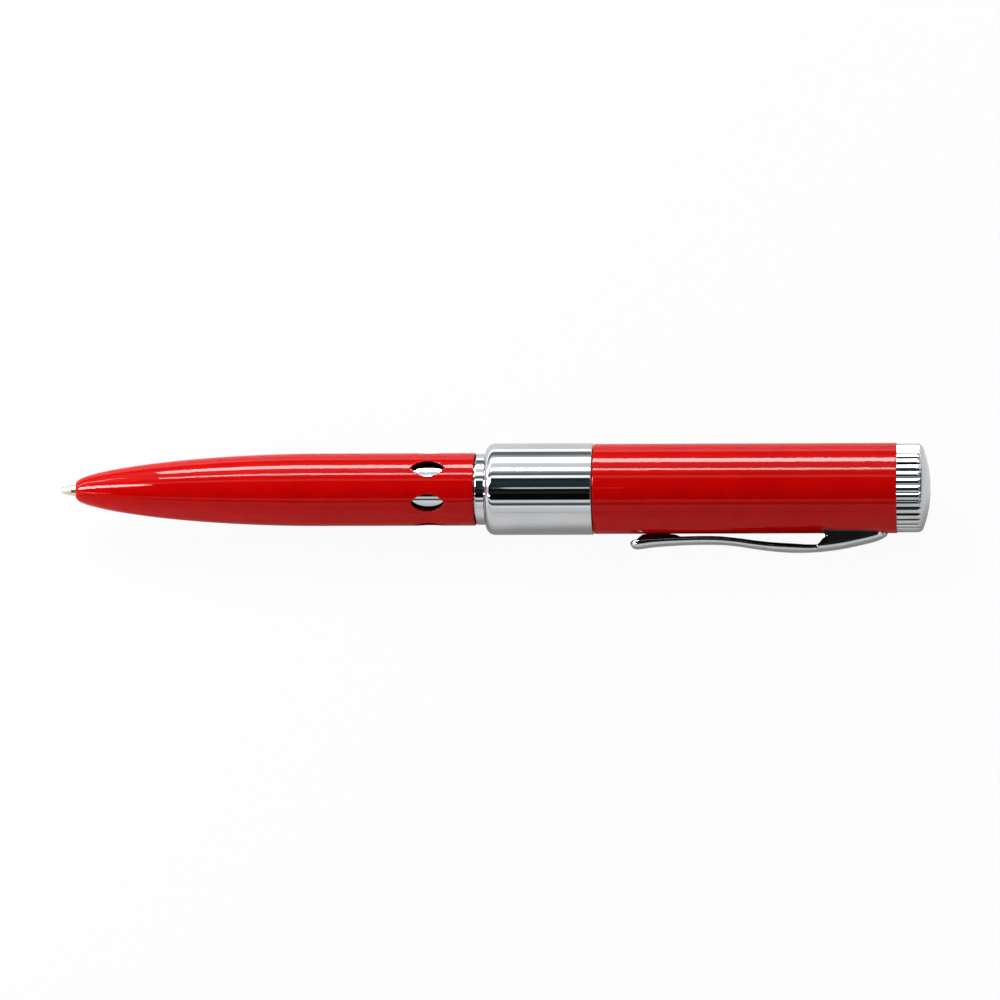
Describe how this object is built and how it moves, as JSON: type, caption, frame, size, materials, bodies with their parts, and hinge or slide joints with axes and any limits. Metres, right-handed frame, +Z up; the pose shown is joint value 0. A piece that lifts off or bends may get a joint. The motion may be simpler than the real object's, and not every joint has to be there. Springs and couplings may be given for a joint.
{
  "type": "usb flash drive pen",
  "caption": "Twist-action ballpoint pen with lacquered barrels and chrome fittings; its cap half pulls off a USB plug held in the collar.",
  "frame": {"origin": "the point of the desk straight below the collar's middle, on which the pen lies", "axes": "+X along the pen from the writing tip to the cap's crown; +Z up from the desk; the clip is on the -Y side and touches the desk"},
  "size_m": [0.144, 0.0177, 0.0151],
  "materials": {
    "red_lacquer": "gloss lacquer",
    "chrome": "mirror plate",
    "ball_steel": "polished",
    "tip_metal": "turned nickel silver",
    "plain_steel": "plain",
    "brass": "turned",
    "ink": "paste",
    "white_plastic": "moulded",
    "black_plastic": "moulded",
    "black_rubber": "matte",
    "board_green": "solder mask",
    "plug_steel": "bright plate",
    "gold_plate": "gold flash"
  },
  "bodies": {
    "collar": {"centre_collar": "chrome", "neck_ring": "chrome", "guide_tube": "brass", "upper_carrier": "black_plastic", "lower_carrier": "black_plastic", "friction_ring": "black_rubber", "circuit_board": "board_green", "usb_plug_shell": "plug_steel", "usb_plug_tongue": "white_plastic", "controller_chip": "black_plastic", "crystal_can": "plug_steel", "memory_chip": "black_plastic", "usb_contact_1": "gold_plate", "usb_contact_2": "gold_plate", "usb_contact_3": "gold_plate", "usb_contact_4": "gold_plate"},
    "writing_half": {"lower_barrel": "red_lacquer", "nose_insert": "white_plastic", "return_spring": "plain_steel", "window_liner": "chrome", "cam_sleeve": "brass"},
    "refill": {"refill_tip": "tip_metal", "refill_tube": "tip_metal", "ink": "ink", "plunger": "white_plastic", "drive_pin": "plain_steel"},
    "ball": {"writing_ball": "ball_steel"},
    "cap": {"upper_barrel": "red_lacquer", "finial": "chrome", "end_plug": "brass", "clip_block": "plain_steel", "clip_pin": "plain_steel", "clip_screw": "plain_steel", "clip_saddle": "plain_steel"},
    "clip": {"pocket_clip": "chrome"}
  },
  "joints": [
    {"name": "barrel_twist", "type": "hinge", "parent": "collar", "child": "writing_half", "pos_m": [-0.0106, 0, 0.00754], "axis": [1, 0, 0], "range_deg": [0, 150]},
    {"name": "refill_slide", "type": "slide", "parent": "collar", "child": "refill", "axis": [1, 0, 0], "range_m": [0, 0.0045], "deforming": ["return_spring"]},
    {"name": "ball_roll", "type": "hinge", "parent": "refill", "child": "ball", "pos_m": [-0.07915, 0, 0.00754], "axis": [0, 1, 0], "continuous": true},
    {"name": "cap_pull", "type": "slide", "parent": "collar", "child": "cap", "axis": [1, 0, 0], "range_m": [0, 0.06]},
    {"name": "clip_flex", "type": "hinge", "parent": "cap", "child": "clip", "pos_m": [0.0533, -0.00688, 0.0034], "axis": [0, -0.5154, 0.857], "range_deg": [0, 4], "stiffness_Nm_per_rad": 1.5}
  ],
  "couplings": [
    {"joint": "refill_slide", "follows": "barrel_twist", "m_per_rad": 0.0017188}
  ]
}
